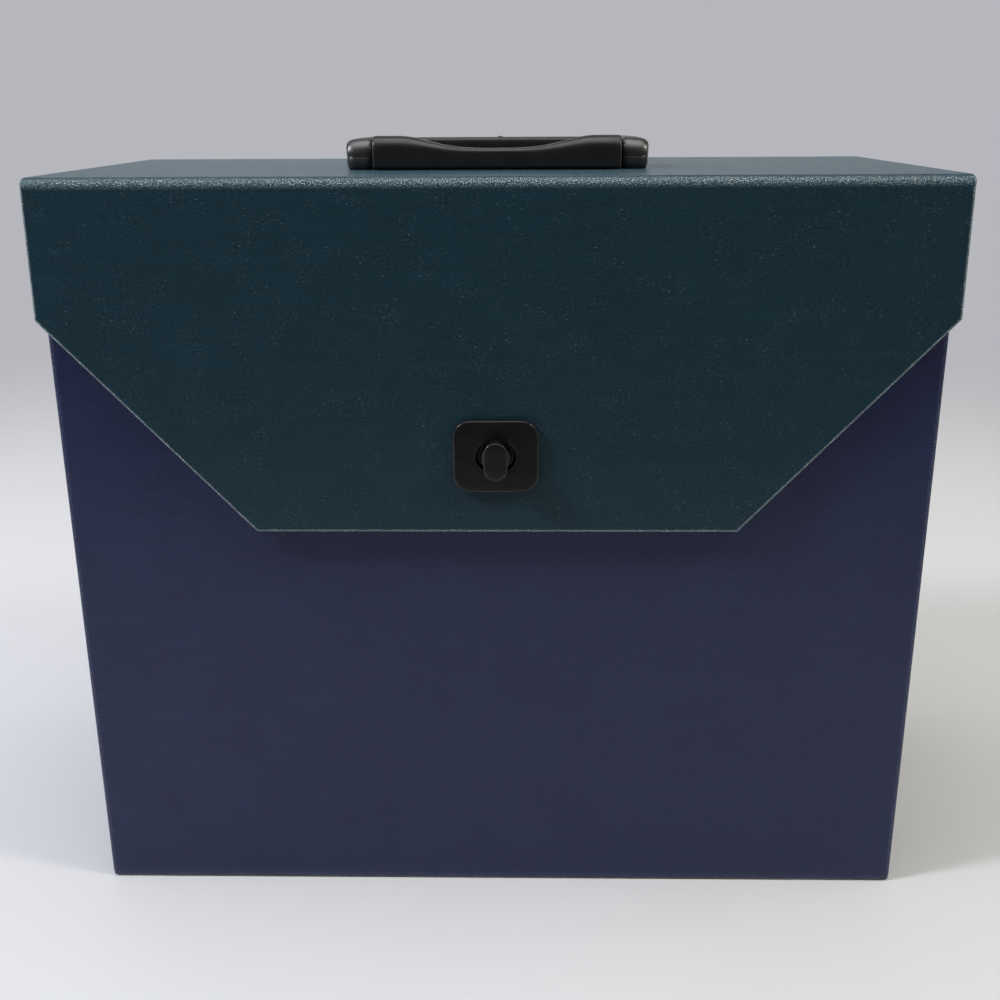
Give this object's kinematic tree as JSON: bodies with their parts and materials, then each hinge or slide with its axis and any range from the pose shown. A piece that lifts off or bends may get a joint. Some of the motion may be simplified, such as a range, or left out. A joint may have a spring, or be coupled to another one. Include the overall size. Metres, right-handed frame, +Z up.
{
  "type": "record carrying case",
  "caption": "Covered board box for long-playing records, with a hinged top panel, a front flap closed by a turn lock, and a folding handle.",
  "frame": {"origin": "centre of the flat face that the case stands on, below the body's middle", "axes": "+X to the right along the width, +Y to the back, away from the flap, +Z up"},
  "size_m": [0.382, 0.1938, 0.3443],
  "materials": {
    "navy_leatherette": "fine grained paper-backed leatherette, satin",
    "green_leatherette": "fine grained paper-backed leatherette, satin",
    "greyboard": "raw greyboard",
    "lining_paper": "matt black lining paper",
    "black_plastic": "finely textured",
    "glossy_black_plastic": "smooth satin gloss",
    "plated_steel": "zinc plated"
  },
  "bodies": {
    "case": {"bottom_cover": "navy_leatherette", "bottom_board": "greyboard", "front_board": "greyboard", "back_board": "greyboard", "left_side_board": "greyboard", "right_side_board": "greyboard", "body_cover": "navy_leatherette", "wall_lining": "lining_paper", "floor_lining": "lining_paper", "back_hinge_strip": "green_leatherette", "lock_base": "black_plastic", "lock_base_rivets": "plated_steel", "lock_inner_plate": "plated_steel", "lock_spring_washer": "plated_steel"},
    "knob": {"lock_knob": "black_plastic", "lock_spindle": "plated_steel", "lock_retainer": "plated_steel"},
    "lid": {"top_board": "greyboard", "top_cover": "green_leatherette", "top_lining": "lining_paper", "handle_base_left": "glossy_black_plastic", "handle_base_right": "glossy_black_plastic", "handle_cap_left": "glossy_black_plastic", "handle_cap_right": "glossy_black_plastic", "handle_pins": "plated_steel", "handle_backing_plate": "plated_steel", "handle_screws": "plated_steel"},
    "flap": {"flap_board": "greyboard", "flap_cover": "green_leatherette", "flap_lining": "lining_paper", "lock_plate": "black_plastic", "lock_back_washer": "plated_steel", "lock_plate_rivets": "plated_steel"},
    "handle": {"handle_bail": "black_plastic"}
  },
  "joints": [
    {"name": "lid_hinge", "type": "hinge", "parent": "case", "child": "lid", "pos_m": [0, 0.0884, 0.3268], "axis": [-1, 0, 0], "range_deg": [0, 180]},
    {"name": "flap_fold", "type": "hinge", "parent": "lid", "child": "flap", "pos_m": [0, -0.09004, 0.32854], "axis": [-1, 0, 0], "range_deg": [0, 105]},
    {"name": "handle_pivot", "type": "hinge", "parent": "lid", "child": "handle", "pos_m": [0, -0.00155, 0.3369], "axis": [-1, 0, 0], "range_deg": [0, 90]},
    {"name": "knob_turn", "type": "hinge", "parent": "case", "child": "knob", "pos_m": [0, -0.088, 0.2154], "axis": [0, 1, 0], "range_deg": [0, 90]}
  ]
}
